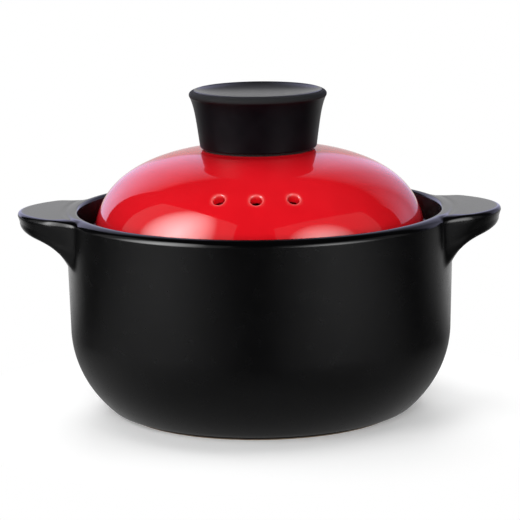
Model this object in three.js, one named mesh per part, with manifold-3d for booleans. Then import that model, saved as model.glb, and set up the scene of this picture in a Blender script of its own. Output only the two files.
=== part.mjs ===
// A ceramic cooking pot: a black stoneware pot with two ears, and a red domed lid with a screwed-on knob.
// Millimetres, +Z up. The origin is the middle of the foot, on the table. The ears point along X,
// and the lid's steam holes face -Y.

import * as THREE from 'three';
import { mergeVertices } from 'three/addons/utils/BufferGeometryUtils.js';
import Module from 'manifold-3d';

const wasm = await Module();
wasm.setup();

// Pot
const RIM_RADIUS = 105;
const RIM_HEIGHT = 111;
const RIM_THICKNESS = 6.6;
const WALL = 8;
const WALL_LEAN = 1.5;
const BELLY_HEIGHT = 47.2;
const BELLY_INSET = 21.4;
const BELLY_SWEEP = 47.5;
const FLOOR_THICKNESS = 8.5;
const FLOOR_INSET = 5.5;
const FOOT_INSET = 6.4;
const FOOT_HEIGHT = 3;
const FOOT_WIDTH = 11;
const FOOT_RECESS = 1.5;
const FOOT_ROUND = 0.8;

// Gallery inside the rim, with the ledge that carries the lid
const LEDGE_DEPTH = 16;
const LEDGE_WIDTH = 6;
const LEDGE_THICKNESS = 3;
const LEDGE_BRACE = 12;
const GALLERY_TAPER = 7.7;

// Ears
const EAR_PROJECTION = 26;
const EAR_WIDTH = 84;
const EAR_DRAFT = 1.5;
const EAR_DROP = 0.2;
const EAR_DROOP = 0.8;
const EAR_TIP_THICKNESS = 9.7;
const EAR_COVE_REACH = 16;
const EAR_COVE_THICKNESS = 13.1;
const EAR_ROOT_HEIGHT = 28.5;
const EAR_EDGE = 3.5;

// How slim an ear's plan is at its top and underneath: 1 is a plain cosine bell, and more is slimmer
const EAR_TOP_POWER = 0.9;
const EAR_UNDER_POWER = 1.3;

// Where the cove under an ear is pulled to, as shares of its reach and of its height
const EAR_COVE_PULL = [0.46, 0.9];

// Lid
const LID_PLAY = 1.5;
const LID_WALL = 6;
const SKIRT_BAND = 6.2;
const DOME_RISE = 41.3;
const PAD_RISE = 0.2;
const PAD_INSET = 0.6;
const PAD_FOOT = 0.5;
const STEAM_HOLE_DIAMETER = 6;
const STEAM_HOLE_INSET = 14.2;
const STEAM_SPACING = 19.6;
const STEAM_HOLES = 3;

// Where the dome's curve is pulled to, as shares of its run from crown to skirt and of its rise
const DOME_CROWN_PULL = [0.22, 0.976];
const DOME_SHOULDER_PULL = [0.933, 0.811];

// Knob
const KNOB_BASE_RADIUS = 31.6;
const KNOB_FLARE = 5.6;
const KNOB_HEIGHT = 31.3;
const KNOB_CORNER = 1;
const KNOB_LIP = 1.5;
const KNOB_DISH = 4.5;
const KNOB_WALL = 4;
const BOSS_WALL = 4.8;

// Where the knob's side is pulled to, as shares of its flare and of its height between corner and lip
const KNOB_LOW_PULL = [0.333, 0.486];
const KNOB_HIGH_PULL = [0.463, 0.8];

// Knob fixing
const GASKET_THICKNESS = 1.2;
const GASKET_INSET = 2.5;
const INSERT_WALL = 1.7;
const INSERT_LENGTH = 16;
const SCREW_DIAMETER = 5;
const SCREW_TIP_SPARE = 4;
const HEAD_OVERHANG = 2.25;
const HEAD_HEIGHT = 3.6;
const HEAD_ROUND = 2.2;
const RECESS_LENGTH = 5.4;
const RECESS_WIDTH = 1.3;
const RECESS_DEPTH = 2;
const STEEL_WASHER_WIDTH = 7.2;
const STEEL_WASHER_THICKNESS = 1.2;
const SILICONE_WASHER_WIDTH = 8.2;
const SILICONE_WASHER_THICKNESS = 1.5;
const CERAMIC_HOLE_PLAY = 1;

// Gap left between pieces that touch, and how far a cutting shape runs past the surface that it opens
const FIT_GAP = 0.3;
const OVERCUT = 1;

// How finely round surfaces are divided
const ROUND_STEPS = 48;
const KNOB_STEPS = 40;
const SMALL_STEPS = 24;
const CURVE_STEPS = 8;
const DOME_STEPS = 10;
const CORNER_STEPS = 3;
const FLARE_STEPS = 5;
const EAR_SLICES = 20;

// Sizes that follow from those above
const WAIST_RADIUS = RIM_RADIUS - WALL_LEAN;
const BASE_RADIUS = WAIST_RADIUS - BELLY_INSET;
const FOOT_RADIUS = BASE_RADIUS - FOOT_INSET;
const RIM_ROUND = RIM_THICKNESS / 2;
const GALLERY_RADIUS = RIM_RADIUS - RIM_THICKNESS;
const SEAT_RADIUS = GALLERY_RADIUS - GALLERY_TAPER;
const LEDGE_HEIGHT = RIM_HEIGHT - LEDGE_DEPTH;
const EAR_TOP = RIM_HEIGHT - EAR_DROP;
const LID_BOTTOM = LEDGE_HEIGHT + FIT_GAP;
const LID_EDGE_RADIUS = SEAT_RADIUS - LID_PLAY;
const DOME_FOOT = LID_BOTTOM + SKIRT_BAND;
const STEAM_RING_RADIUS = LID_EDGE_RADIUS - STEAM_HOLE_INSET;
const CROWN_HEIGHT = DOME_FOOT + DOME_RISE;
const CROWN_UNDERSIDE = CROWN_HEIGHT - LID_WALL;
const PAD_RADIUS = KNOB_BASE_RADIUS - PAD_INSET;
const PAD_HEIGHT = CROWN_HEIGHT + PAD_RISE;
const CROWN_RADIUS = PAD_RADIUS + PAD_FOOT;
const GASKET_RADIUS = KNOB_BASE_RADIUS - GASKET_INSET;
const KNOB_BOTTOM = PAD_HEIGHT + GASKET_THICKNESS;
const SCREW_RADIUS = SCREW_DIAMETER / 2;
const SCREW_BORE = SCREW_RADIUS + FIT_GAP;
const INSERT_ACROSS_FLATS = 2 * (SCREW_BORE + INSERT_WALL);
const BOSS_RADIUS = INSERT_ACROSS_FLATS / Math.sqrt(3) + BOSS_WALL;
const SILICONE_BOTTOM = CROWN_UNDERSIDE - SILICONE_WASHER_THICKNESS;
const STEEL_BOTTOM = SILICONE_BOTTOM - STEEL_WASHER_THICKNESS;

// Turns a closed three.js geometry into a solid that can be joined and cut
function toSolid(geometry) {
  geometry.deleteAttribute('normal');
  geometry.deleteAttribute('uv');
  const merged = mergeVertices(geometry);
  const corners = merged.index.array;
  const kept = [];
  for (let i = 0; i < corners.length; i += 3) {
    const [a, b, c] = [corners[i], corners[i + 1], corners[i + 2]];
    if (a !== b && b !== c && c !== a) kept.push(a, b, c);
  }
  const vertProperties = new Float32Array(merged.attributes.position.array);
  const triVerts = new Uint32Array(kept);
  return new wasm.Manifold(new wasm.Mesh({ numProp: 3, vertProperties, triVerts }));
}

function toMesh(name, solid, material) {
  const { vertProperties, triVerts } = solid.getMesh();
  const geometry = new THREE.BufferGeometry();
  geometry.setAttribute('position', new THREE.BufferAttribute(vertProperties, 3));
  geometry.setIndex(new THREE.BufferAttribute(triVerts, 1));
  geometry.computeVertexNormals();
  const mesh = new THREE.Mesh(geometry, material);
  mesh.name = name;
  return mesh;
}

// Turns an outline of [radius, height] points about the Z axis, starting from -Y
function turn(outline, steps) {
  const points = outline.map(([radius, height]) => new THREE.Vector2(radius, height));
  return toSolid(new THREE.LatheGeometry(points, steps).rotateX(Math.PI / 2));
}

// A flat ring about the Z axis
function ring(inner, outer, bottom, top, steps) {
  return turn([[inner, bottom], [outer, bottom], [outer, top], [inner, top], [inner, bottom]], steps);
}

// Points of a rounded corner, from one end to the other
function bend(start, corner, end, steps = CORNER_STEPS) {
  const [a, b, c] = [start, corner, end].map((p) => new THREE.Vector2(...p));
  return new THREE.QuadraticBezierCurve(a, b, c).getPoints(steps).map((p) => p.toArray());
}

// Points of an ellipse's arc, with its angles in degrees
function arc(centre, across, up, from, to, steps = CURVE_STEPS) {
  const points = [];
  for (let i = 0; i <= steps; i += 1) {
    const angle = THREE.MathUtils.degToRad(from + ((to - from) * i) / steps);
    points.push([centre[0] + across * Math.cos(angle), centre[1] + up * Math.sin(angle)]);
  }
  return points;
}

// The belly is an arc of an ellipse that ends upright at the waist
function belly(low, high) {
  const sweep = THREE.MathUtils.degToRad(BELLY_SWEEP);
  const across = (high[0] - low[0]) / (1 - Math.cos(sweep));
  const up = (high[1] - low[1]) / Math.sin(sweep);
  return arc([high[0] - across, high[1]], across, up, -BELLY_SWEEP, 0);
}

function wallRadius(height) {
  const share = (height - BELLY_HEIGHT) / (RIM_HEIGHT - RIM_ROUND - BELLY_HEIGHT);
  return WAIST_RADIUS + WALL_LEAN * share;
}

// A part of the rounded rim, from its outside at 0 degrees over its top at 90 to its inside at 180
function rim(from, to) {
  const centre = [RIM_RADIUS - RIM_ROUND, RIM_HEIGHT - RIM_ROUND];
  return arc(centre, RIM_ROUND, RIM_ROUND, from, to, CORNER_STEPS);
}

// The pot's outside from the belly up to the top of the rim
function potOutside(margin) {
  const outside = [...belly([BASE_RADIUS, FOOT_HEIGHT], [WAIST_RADIUS, BELLY_HEIGHT]), ...rim(0, 90)];
  return outside.map(([radius, height]) => [radius + margin, height]);
}

function makePotBody() {
  const footInside = FOOT_RADIUS - FOOT_WIDTH;
  const floorHeight = FOOT_RECESS + FLOOR_THICKNESS;
  const floorRadius = BASE_RADIUS - FLOOR_INSET;
  const ledgeRadius = SEAT_RADIUS - LEDGE_WIDTH;
  const ledgeUnderside = LEDGE_HEIGHT - LEDGE_THICKNESS;
  const braceFoot = ledgeUnderside - LEDGE_BRACE;
  const inside = belly([floorRadius, floorHeight], [WAIST_RADIUS - WALL, BELLY_HEIGHT]);
  return turn([
    [0, FOOT_RECESS],
    [footInside - FOOT_ROUND, FOOT_RECESS],
    [footInside, 0],
    [FOOT_RADIUS - FOOT_ROUND, 0],
    [FOOT_RADIUS, FOOT_ROUND],
    [FOOT_RADIUS, FOOT_HEIGHT],
    ...potOutside(0),
    ...rim(90, 180).slice(1),
    [SEAT_RADIUS, LEDGE_HEIGHT],
    [ledgeRadius, LEDGE_HEIGHT],
    [ledgeRadius, ledgeUnderside],
    [wallRadius(braceFoot) - WALL, braceFoot],
    ...inside.reverse(),
    [0, floorHeight],
  ], ROUND_STEPS);
}

// How far along a curve of radius and height, from 0 to 1, a given radius lies
function shareAt(curve, radius) {
  const fine = 1e-6;
  let low = 0;
  let high = 1;
  while (high - low > fine) {
    const middle = (low + high) / 2;
    if (curve.getPoint(middle).x < radius) low = middle;
    else high = middle;
  }
  return low;
}

// The cove under an ear, from the wall out to where the straight underside begins
function earCove() {
  const foot = EAR_TOP - EAR_ROOT_HEIGHT;
  const height = EAR_ROOT_HEIGHT - EAR_COVE_THICKNESS;
  const [out, up] = EAR_COVE_PULL;
  return new THREE.QuadraticBezierCurve(
    new THREE.Vector2(RIM_RADIUS, foot),
    new THREE.Vector2(RIM_RADIUS + EAR_COVE_REACH * out, foot + height * up),
    new THREE.Vector2(RIM_RADIUS + EAR_COVE_REACH, foot + height),
  );
}

function earUnderside(radius) {
  const out = radius - RIM_RADIUS;
  if (out < EAR_COVE_REACH) {
    const cove = earCove();
    return cove.getPoint(shareAt(cove, radius)).y;
  }
  const slope = (EAR_COVE_THICKNESS - EAR_TIP_THICKNESS) / (EAR_PROJECTION - EAR_COVE_REACH);
  return EAR_TOP - EAR_COVE_THICKNESS + slope * (out - EAR_COVE_REACH);
}

// One upright slice of an ear, from inside the wall out to its edge. The bell says how far out it goes:
// it is 0 at either end of the ear and 1 in its middle
function earSection(bell) {
  const tip = RIM_RADIUS + EAR_PROJECTION * bell ** EAR_TOP_POWER;
  const heel = RIM_RADIUS + (EAR_PROJECTION - EAR_DRAFT) * bell ** EAR_UNDER_POWER;
  const top = EAR_TOP - EAR_DROOP * bell;
  const low = earUnderside(heel);
  const shoulder = heel - EAR_EDGE;
  const wall = Math.min(shoulder, RIM_RADIUS);
  const underside = [];
  for (let i = 1; i <= CURVE_STEPS; i += 1) {
    const radius = wall + (shoulder - wall) * (1 - i / CURVE_STEPS) ** 2;
    underside.push([radius, earUnderside(radius)]);
  }
  return [
    [GALLERY_RADIUS, EAR_TOP],
    ...bend([tip - EAR_EDGE, top], [tip, top], [tip, top - EAR_EDGE]),
    ...bend([heel, low + EAR_EDGE], [heel, low], [shoulder, earUnderside(shoulder)]),
    ...underside,
    [GALLERY_RADIUS, earUnderside(RIM_RADIUS)],
  ];
}

// An ear's plan is a bell, so its slices grow from nothing at the wall to the full projection
function makeEar() {
  const halfAngle = Math.asin(EAR_WIDTH / 2 / RIM_RADIUS);
  const positions = [];
  const index = [];
  const count = earSection(0).length;
  for (let slice = 0; slice <= EAR_SLICES; slice += 1) {
    const share = (2 * slice) / EAR_SLICES - 1;
    const angle = share * halfAngle;
    const bell = Math.max(Math.cos((share * Math.PI) / 2), 0);
    for (const [radius, height] of earSection(bell)) {
      positions.push(radius * Math.cos(angle), radius * Math.sin(angle), height);
    }
  }
  const last = EAR_SLICES * count;
  const middles = [positions.length / 3, positions.length / 3 + 1];
  for (const angle of [-halfAngle, halfAngle]) {
    const radius = (GALLERY_RADIUS + RIM_RADIUS) / 2;
    positions.push(radius * Math.cos(angle), radius * Math.sin(angle), EAR_TOP - EAR_ROOT_HEIGHT / 2);
  }
  for (let point = 0; point < count; point += 1) {
    const next = (point + 1) % count;
    index.push(middles[0], next, point);
    index.push(middles[1], last + point, last + next);
    for (let low = 0; low < last; low += count) {
      const high = low + count;
      index.push(low + point, high + next, high + point);
      index.push(low + point, low + next, high + next);
    }
  }
  const geometry = new THREE.BufferGeometry();
  geometry.setAttribute('position', new THREE.Float32BufferAttribute(positions, 3));
  geometry.setIndex(index);
  const pot = turn([[0, 0], ...potOutside(FIT_GAP), [0, RIM_HEIGHT]], ROUND_STEPS);
  return toSolid(geometry).subtract(pot);
}

// The dome's outside, from the crown down to the skirt
function domeCurve() {
  const run = LID_EDGE_RADIUS - CROWN_RADIUS;
  const pulled = ([out, up]) => new THREE.Vector2(CROWN_RADIUS + run * out, DOME_FOOT + DOME_RISE * up);
  return new THREE.CubicBezierCurve(
    new THREE.Vector2(CROWN_RADIUS, CROWN_HEIGHT),
    pulled(DOME_CROWN_PULL),
    pulled(DOME_SHOULDER_PULL),
    new THREE.Vector2(LID_EDGE_RADIUS, DOME_FOOT),
  );
}

// A rod through the dome, square to its surface, that cuts one steam hole
function steamHole(angle) {
  const curve = domeCurve();
  const share = shareAt(curve, STEAM_RING_RADIUS);
  const point = curve.getPoint(share);
  const along = curve.getTangent(share);
  const radius = STEAM_HOLE_DIAMETER / 2;
  const length = 2 * (LID_WALL + OVERCUT);
  const rod = new THREE.CylinderGeometry(radius, radius, length, SMALL_STEPS);
  rod.rotateZ(Math.atan2(along.y, along.x));
  rod.translate(point.x, point.y, 0);
  rod.rotateX(Math.PI / 2);
  rod.rotateZ(angle - Math.PI / 2);
  return toSolid(rod);
}

function makeLid() {
  const curve = domeCurve();
  const outside = [];
  const inside = [];
  for (let i = 0; i <= DOME_STEPS; i += 1) {
    const point = curve.getPoint(i / DOME_STEPS);
    const along = curve.getTangent(i / DOME_STEPS);
    outside.push([point.x, point.y]);
    inside.push([point.x + LID_WALL * along.y, point.y - LID_WALL * along.x]);
  }
  const skirtInside = inside[DOME_STEPS][0];
  const hole = SCREW_RADIUS + CERAMIC_HOLE_PLAY;
  let lid = turn([
    [hole, CROWN_UNDERSIDE],
    [inside[0][0], CROWN_UNDERSIDE],
    ...inside.slice(1),
    [skirtInside, LID_BOTTOM],
    [LID_EDGE_RADIUS, LID_BOTTOM],
    ...outside.reverse(),
    [PAD_RADIUS, PAD_HEIGHT],
    [hole, PAD_HEIGHT],
    [hole, CROWN_UNDERSIDE],
  ], ROUND_STEPS);
  const holeAngle = STEAM_SPACING / STEAM_RING_RADIUS;
  for (let i = 0; i < STEAM_HOLES; i += 1) {
    const step = i - (STEAM_HOLES - 1) / 2;
    lid = lid.subtract(steamHole(step * holeAngle));
  }
  return lid;
}

// A six-sided tube or bar, standing on a given height
function hexagon(acrossFlats, bore, bottom, length) {
  const shape = new THREE.Shape();
  const corner = acrossFlats / Math.sqrt(3);
  for (let i = 0; i < 6; i += 1) {
    const angle = (i * Math.PI) / 3;
    if (i === 0) shape.moveTo(corner, 0);
    else shape.lineTo(corner * Math.cos(angle), corner * Math.sin(angle));
  }
  shape.closePath();
  if (bore > 0) shape.holes.push(new THREE.Path().absarc(0, 0, bore, 0, 2 * Math.PI, true));
  const options = { depth: length, bevelEnabled: false, curveSegments: SMALL_STEPS };
  return toSolid(new THREE.ExtrudeGeometry(shape, options).translate(0, 0, bottom));
}

function makeKnob() {
  const low = KNOB_BOTTOM + KNOB_CORNER;
  const footRadius = KNOB_BASE_RADIUS - KNOB_CORNER;
  const top = KNOB_BOTTOM + KNOB_HEIGHT;
  const lip = top - KNOB_LIP;
  const lipRadius = KNOB_BASE_RADIUS + KNOB_FLARE;
  const pulled = ([out, up]) => {
    return new THREE.Vector2(KNOB_BASE_RADIUS + KNOB_FLARE * out, low + (lip - low) * up);
  };
  const side = new THREE.CubicBezierCurve(
    new THREE.Vector2(KNOB_BASE_RADIUS, low),
    pulled(KNOB_LOW_PULL),
    pulled(KNOB_HIGH_PULL),
    new THREE.Vector2(lipRadius, lip),
  );
  const lipMiddle = lipRadius - KNOB_LIP;
  const dishEdge = lipMiddle - 2 * KNOB_LIP;
  const dishBottom = top - KNOB_DISH;
  const hollowRadius = KNOB_BASE_RADIUS - KNOB_WALL;
  const hollowTop = dishBottom - KNOB_WALL;
  const hollowEdge = hollowRadius - KNOB_WALL;
  const knob = turn([
    [0, KNOB_BOTTOM],
    [BOSS_RADIUS, KNOB_BOTTOM],
    [BOSS_RADIUS, hollowTop],
    ...bend([hollowEdge, hollowTop], [hollowRadius, hollowTop], [hollowRadius, hollowTop - KNOB_WALL]),
    [hollowRadius, KNOB_BOTTOM],
    ...bend([footRadius, KNOB_BOTTOM], [KNOB_BASE_RADIUS, KNOB_BOTTOM], [KNOB_BASE_RADIUS, low]),
    ...side.getPoints(CURVE_STEPS).slice(1).map((p) => p.toArray()),
    ...bend([lipRadius, lip], [lipRadius, top], [lipMiddle, top]).slice(1),
    ...bend([dishEdge, top - KNOB_LIP / 2], [dishEdge / 2, dishBottom], [0, dishBottom], FLARE_STEPS),
  ], KNOB_STEPS);
  const pocketFlats = INSERT_ACROSS_FLATS + 2 * FIT_GAP;
  const pocketDepth = INSERT_LENGTH + FIT_GAP;
  return knob.subtract(hexagon(pocketFlats, 0, KNOB_BOTTOM - OVERCUT, pocketDepth + OVERCUT));
}

function makeScrew() {
  const headBottom = STEEL_BOTTOM - HEAD_HEIGHT;
  const headRadius = SCREW_RADIUS + HEAD_OVERHANG;
  const crownRadius = headRadius - HEAD_ROUND;
  const tip = KNOB_BOTTOM + INSERT_LENGTH - SCREW_TIP_SPARE;
  const screw = turn([
    [0, headBottom],
    ...bend([crownRadius, headBottom], [headRadius, headBottom], [headRadius, headBottom + HEAD_ROUND]),
    [headRadius, STEEL_BOTTOM],
    [SCREW_RADIUS, STEEL_BOTTOM],
    [SCREW_RADIUS, tip],
    [0, tip],
  ], SMALL_STEPS);
  const slot = (length, width) => {
    const box = new THREE.BoxGeometry(length, width, 2 * RECESS_DEPTH);
    return toSolid(box.translate(0, 0, headBottom));
  };
  return screw.subtract(slot(RECESS_LENGTH, RECESS_WIDTH)).subtract(slot(RECESS_WIDTH, RECESS_LENGTH));
}

const blackGlaze = new THREE.MeshStandardMaterial({ color: 0x1b1b1d, roughness: 0.45, metalness: 0 });
const redGlaze = new THREE.MeshStandardMaterial({ color: 0xd8141f, roughness: 0.08, metalness: 0 });
const blackResin = new THREE.MeshStandardMaterial({ color: 0x19191d, roughness: 0.4, metalness: 0 });
const silicone = new THREE.MeshStandardMaterial({ color: 0x0d0d0e, roughness: 0.8, metalness: 0 });
const brass = new THREE.MeshStandardMaterial({ color: 0xb08d4a, roughness: 0.35, metalness: 1 });
const stainless = new THREE.MeshStandardMaterial({ color: 0xb4b6b8, roughness: 0.3, metalness: 1 });

const pot = new THREE.Group();
const ear = makeEar();
const rightEar = toMesh('right_ear', ear, blackGlaze);
const leftEar = toMesh('left_ear', ear, blackGlaze);
leftEar.rotation.z = Math.PI;
pot.add(toMesh('pot_body', makePotBody(), blackGlaze), rightEar, leftEar);

const gasket = ring(SCREW_BORE, GASKET_RADIUS, PAD_HEIGHT, KNOB_BOTTOM, KNOB_STEPS);
const siliconeEdge = SCREW_BORE + SILICONE_WASHER_WIDTH;
const siliconeWasher = ring(SCREW_BORE, siliconeEdge, SILICONE_BOTTOM, CROWN_UNDERSIDE, SMALL_STEPS);
const steelEdge = SCREW_BORE + STEEL_WASHER_WIDTH;
const steelWasher = ring(SCREW_BORE, steelEdge, STEEL_BOTTOM, SILICONE_BOTTOM, SMALL_STEPS);

const lid = new THREE.Group();
lid.add(
  toMesh('lid', makeLid(), redGlaze),
  toMesh('knob', makeKnob(), blackResin),
  toMesh('knob_gasket', gasket, silicone),
  toMesh('knob_insert', hexagon(INSERT_ACROSS_FLATS, SCREW_BORE, KNOB_BOTTOM, INSERT_LENGTH), brass),
  toMesh('knob_screw', makeScrew(), stainless),
  toMesh('steel_washer', steelWasher, stainless),
  toMesh('silicone_washer', siliconeWasher, silicone),
);

const cookingPot = new THREE.Group();
cookingPot.add(pot, lid);

export default cookingPot;
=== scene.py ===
# %% [markdown]
# # A stoneware cooking pot with a red lid
# The pot is two glazed castings, a black body with two lug ears and a red domed lid, and a knob that is
# screwed on through the lid. The CAD model already says where each piece is and how large, so this lesson
# makes the surfaces finer and gives them their glazes. Every size is in metres, in the CAD model's own
# frame.

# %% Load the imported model
import math

import bmesh
import bpy
from mathutils import Matrix, Vector


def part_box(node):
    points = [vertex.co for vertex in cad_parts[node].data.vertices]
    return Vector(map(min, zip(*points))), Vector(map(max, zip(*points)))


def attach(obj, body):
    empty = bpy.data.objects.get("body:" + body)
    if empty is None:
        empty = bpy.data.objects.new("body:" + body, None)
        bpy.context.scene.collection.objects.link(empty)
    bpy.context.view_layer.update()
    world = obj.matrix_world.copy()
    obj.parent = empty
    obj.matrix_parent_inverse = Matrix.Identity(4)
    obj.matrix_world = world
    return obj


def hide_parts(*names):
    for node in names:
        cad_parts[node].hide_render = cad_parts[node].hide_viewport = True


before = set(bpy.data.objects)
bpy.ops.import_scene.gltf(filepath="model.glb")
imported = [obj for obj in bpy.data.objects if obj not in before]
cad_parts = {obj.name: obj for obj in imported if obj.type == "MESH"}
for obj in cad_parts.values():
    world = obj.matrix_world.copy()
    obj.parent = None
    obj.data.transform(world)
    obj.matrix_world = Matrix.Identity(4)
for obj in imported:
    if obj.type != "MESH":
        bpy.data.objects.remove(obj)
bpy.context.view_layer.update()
MM = 0.001

# %% [markdown]
# ## Measure the CAD pieces
# The fine surfaces have to sit where the CAD solids sit. Reading the main radii and heights from the
# boxes of the CAD nodes keeps the two in step: if the part is made larger, the glazed surfaces follow.

# %% Read the main sizes from the frame
pot_low, pot_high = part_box("pot_body")
ear_low, ear_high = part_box("right_ear")
lid_low, lid_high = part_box("lid")
knob_low, knob_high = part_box("knob")
insert_low, insert_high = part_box("knob_insert")
RIM_RADIUS = pot_high.x
RIM_TOP = pot_high.z
EAR_TIP = ear_high.x
EAR_ROOT = ear_low.z
EAR_HALF_WIDTH = ear_high.y
LID_RADIUS = lid_high.x
LID_BOTTOM = lid_low.z
PAD_TOP = lid_high.z
KNOB_BOTTOM = knob_low.z
KNOB_TOP = knob_high.z
LIP_RADIUS = knob_high.x
INSERT_TOP = insert_high.z
for size_name, radius in (("rim", RIM_RADIUS), ("lid", LID_RADIUS), ("knob", LIP_RADIUS)):
    print(size_name, "radius in mm:", round(radius / MM, 1))

# %% [markdown]
# ## Curves for a potter's outline
# Each casting is turned, so its shape is an outline of radius and height swept around the pot's axis. A
# subdivision surface could round a rough outline, but it would shrink the corners. Writing the bends as
# curves keeps each radius exactly where the photograph shows it. Each helper leaves out its first point,
# so stretches can be chained.

# %% Straight, curved and round stretches of an outline
def between(start, end, share):
    """The point at that share of the way from start to end."""
    return tuple(a + (b - a) * share for a, b in zip(start, end))


def straight(start, end, steps):
    """Evenly spaced points on a line, without the first."""
    return [between(start, end, step / steps) for step in range(1, steps + 1)]


def curve(corners, steps):
    """Points on a Bezier curve with those corners, without the first."""
    points = []
    for step in range(1, steps + 1):
        level = list(corners)
        while len(level) > 1:
            level = [between(a, b, step / steps) for a, b in zip(level, level[1:])]
        points.append(level[0])
    return points


def ellipse(middle, across, up, start, end, steps, power=1.0):
    """Points on an ellipse arc between two angles in degrees; a power over 1 makes it leaner."""
    points = []
    for step in range(1, steps + 1):
        angle = math.radians(start + (end - start) * step / steps)
        out = math.copysign(abs(math.cos(angle)) ** power, math.cos(angle))
        rise = math.copysign(abs(math.sin(angle)) ** power, math.sin(angle))
        points.append((middle[0] + across * out, middle[1] + up * rise))
    return points


print("a quarter round of 4 steps:", len(ellipse((0, 0), 1, 1, 0, 90, 4)), "points")

# %% [markdown]
# ## From rings to a closed skin
# A turned piece is a stack of rings of points. Joining each ring to the next with four-sided faces gives
# an even skin that shades smoothly, and a ring of a single point closes an end. The volume and the open
# edges are printed, because a skin with a hole or a flipped side would give wrong ones.

# %% Join rings of points into a skin
CC = 1e-6


def turned_ring(radius, height, bearings):
    """A ring of points about the pot's axis, or a single point on it."""
    if radius == 0:
        return [(0.0, 0.0, height)]
    return [(radius * math.cos(b), radius * math.sin(b), height) for b in bearings]


def ring_faces(first, first_start, second, second_start, gaps=()):
    """Faces between two rings of points, apart from the places in gaps."""
    faces = []
    count = max(len(first), len(second))
    for place in range(count):
        if place in gaps:
            continue
        after = (place + 1) % count
        corners = [
            first_start + place % len(first),
            first_start + after % len(first),
            second_start + after % len(second),
            second_start + place % len(second),
        ]
        faces.append(list(dict.fromkeys(corners)))
    return faces


def skin(rings):
    """All points of a stack of rings, and the faces from each ring to the next."""
    points = []
    faces = []
    for low, high in zip(rings, rings[1:]):
        faces += ring_faces(low, len(points), high, len(points) + len(low))
        points.extend(low)
    return points + rings[-1], faces


def finished_piece(name, points, faces, finish):
    """A smooth-shaded mesh object with its finish, and its volume printed."""
    mesh = bpy.data.meshes.new(name)
    mesh.from_pydata(points, [], faces)
    shell = bmesh.new()
    shell.from_mesh(mesh)
    bmesh.ops.recalc_face_normals(shell, faces=shell.faces)
    open_edges = sum(1 for edge in shell.edges if not edge.is_manifold)
    volume = shell.calc_volume(signed=True)
    shell.to_mesh(mesh)
    shell.free()
    mesh.shade_smooth()
    mesh.materials.append(finish)
    piece = bpy.data.objects.new(name, mesh)
    bpy.context.scene.collection.objects.link(piece)
    print(name, len(mesh.polygons), "faces,", round(volume / CC, 1), "cc,", open_edges, "open edges")
    return piece


# %% [markdown]
# ## The finishes
# Glaze is glass melted onto clay: its colour drifts a little where it ran thicker, and its surface has a
# faint orange peel. All of that is done with noise in the object's own coordinates, so it needs no
# picture and stays put when the lid moves. Where glaze would stick to the kiln shelf the potter wipes it
# off, so the standing edges show bare clay.

# %% Helpers for building a finish out of nodes
def add_node(tree, kind, inputs=None, **settings):
    """A new node with its settings; each of its inputs is linked to an output or set to a value."""
    made = tree.nodes.new("ShaderNode" + kind)
    for setting, value in settings.items():
        setattr(made, setting, value)
    for socket, value in (inputs or {}).items():
        if isinstance(value, bpy.types.NodeSocket):
            tree.links.new(value, made.inputs[socket])
        else:
            made.inputs[socket].default_value = value
    return made


def new_finish(name):
    """A node material, its node tree and its main shader."""
    finish = bpy.data.materials.new(name)
    finish.use_nodes = True
    return finish, finish.node_tree, finish.node_tree.nodes["Principled BSDF"]


def own_places(tree, kind="Object"):
    """Coordinates or normals that belong to the object, so that a finish moves with it."""
    return add_node(tree, "TexCoord").outputs[kind]


def own_axes(tree, kind="Object"):
    """The same, as separate X, Y and Z."""
    return add_node(tree, "SeparateXYZ", {"Vector": own_places(tree, kind)}).outputs


def worked_out(tree, operation, *values):
    """The result of a calculation with numbers and outputs of other nodes."""
    return add_node(tree, "Math", dict(enumerate(values)), operation=operation).outputs["Value"]


def noise_at(tree, scale, detail):
    """A noise whose grains are about one metre divided by scale."""
    inputs = {"Vector": own_places(tree), "Scale": scale, "Detail": detail}
    return add_node(tree, "TexNoise", inputs).outputs["Fac"]


def number_drift(tree, value, low, high, start=0.3, end=0.7):
    """A number that drifts from low to high as the value goes from start to end."""
    inputs = {"Value": value, "From Min": start, "From Max": end, "To Min": low, "To Max": high}
    return add_node(tree, "MapRange", inputs).outputs["Result"]


def colour_drift(tree, value, *stops):
    """A colour that drifts from stop to stop; each stop is a value and the colour there."""
    ramp = add_node(tree, "ValToRGB", {"Fac": value})
    tones = ramp.color_ramp.elements
    for _ in stops[2:]:
        tones.new(1)
    for tone, (place, colour) in zip(tones, stops):
        tone.position = place
        tone.color = (*colour, 1)
    return ramp.outputs["Color"]


def blend(tree, share, first, second, kind="RGBA"):
    """The first colour or number where the share is 0, the second where it is 1."""
    inputs = {"Factor": share, "A": first, "B": second}
    return add_node(tree, "Mix", inputs, data_type=kind).outputs["Result"]


# %% Mottled colours, uneven gloss and grain
MOTTLE = (0.35, 0.65)
FACING_UP = (0.1, 0.6)
GRAIN_DETAIL = 2


def mottled(tree, noise, dark, light):
    """A colour between two tones that follows a noise."""
    return colour_drift(tree, noise, (MOTTLE[0], dark), (MOTTLE[1], light))


def smoother_above(tree, value, share):
    """The value on upright walls, falling to a share of it where the surface faces up."""
    return worked_out(
        tree, "MULTIPLY", value, number_drift(tree, own_axes(tree, "Normal")["Z"], 1, share, *FACING_UP)
    )


def surface_grain(tree, shader, scale, depth, strength):
    """Tiny bumps of that depth in metres, with grains of about one metre divided by scale."""
    inputs = {"Height": noise_at(tree, scale, GRAIN_DETAIL), "Distance": depth, "Strength": strength}
    tree.links.new(add_node(tree, "Bump", inputs).outputs["Normal"], shader.inputs["Normal"])


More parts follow.
